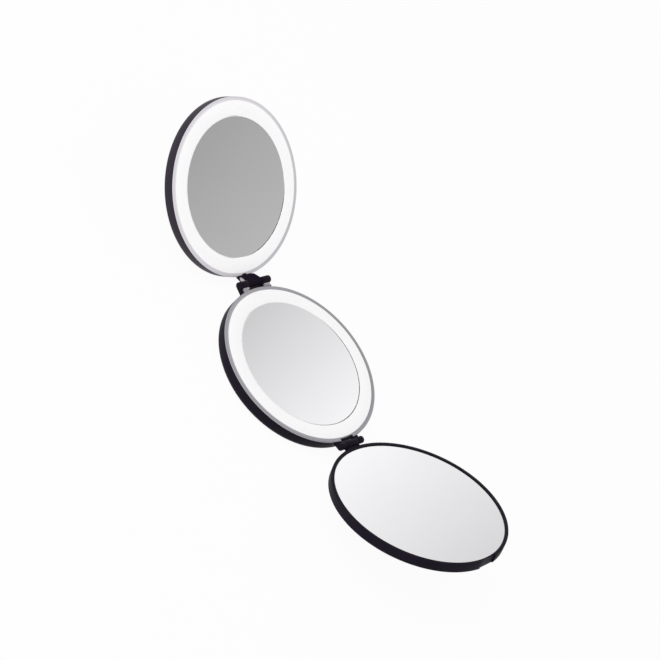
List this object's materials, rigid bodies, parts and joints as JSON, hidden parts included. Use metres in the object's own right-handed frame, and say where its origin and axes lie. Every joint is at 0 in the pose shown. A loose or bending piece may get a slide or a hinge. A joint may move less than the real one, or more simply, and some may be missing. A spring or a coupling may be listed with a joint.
{
  "type": "compact mirror",
  "caption": "Folding round pocket mirror in a chain of hinged leaves; silver-rimmed black shells, mirrors on every leaf and white light rings round the upper and middle ones.",
  "frame": {"origin": "centre of the middle leaf's flat back, the face it rests on", "axes": "+Z out of the middle leaf's mirror, +Y from the lower leaf to the upper leaf, +X along both hinge axes"},
  "size_m": [0.0886, 0.2576, 0.057],
  "materials": {
    "black_shell": "satin black moulded plastic",
    "silver_bezel": "silver-plated plastic, satin",
    "light_ring": "opal diffuser, lit white",
    "mirror_glass": "silvered glass",
    "adhesive_pad": "thin foam tape",
    "white_plastic": "white moulded plastic",
    "lamp_board": "white-coated circuit board",
    "lamp": "small surface lamps, lit",
    "steel": "plated steel",
    "battery_pouch": "matt foil pouch",
    "lead": "insulated lead",
    "circuit_board": "green-coated circuit board",
    "switch_plastic": "dark moulded plastic"
  },
  "bodies": {
    "middle_leaf": {"middle_shell": "black_shell", "middle_bezel": "silver_bezel", "middle_diffuser": "light_ring", "middle_mirror": "mirror_glass", "middle_mirror_pad": "adhesive_pad", "middle_tray": "white_plastic", "middle_lamp_board": "lamp_board", "middle_lamps": "lamp", "middle_screws": "steel", "battery": "battery_pouch", "battery_leads": "lead", "control_board": "circuit_board", "lamp_leads": "lead", "charging_port": "steel", "switch_housing": "switch_plastic", "upper_hinge_pin": "steel", "lower_hinge_pin": "steel"},
    "upper_leaf": {"upper_shell": "black_shell", "arm_inlays": "silver_bezel", "upper_bezel": "silver_bezel", "upper_diffuser": "light_ring", "upper_mirror": "mirror_glass", "upper_mirror_pad": "adhesive_pad", "upper_tray": "white_plastic", "upper_lamp_board": "lamp_board", "upper_lamps": "lamp", "upper_screws": "steel"},
    "lower_leaf": {"lower_shell": "black_shell", "lower_mirror": "mirror_glass", "lower_mirror_pad": "adhesive_pad"},
    "button": {"power_button": "black_shell", "switch_plunger": "white_plastic"}
  },
  "joints": [
    {"name": "upper_hinge", "type": "hinge", "parent": "middle_leaf", "child": "upper_leaf", "pos_m": [0, 0.0469, 0.0084], "axis": [1, 0, 0], "range_deg": [-36, 144]},
    {"name": "lower_hinge", "type": "hinge", "parent": "middle_leaf", "child": "lower_leaf", "pos_m": [0, -0.0464, 0.0086], "axis": [1, 0, 0], "range_deg": [-156, 24]},
    {"name": "button_press", "type": "slide", "parent": "middle_leaf", "child": "button", "axis": [-1, 0, 0], "range_m": [0, 0.0004], "stiffness_N_per_m": 300, "springref_m": -0.003}
  ]
}
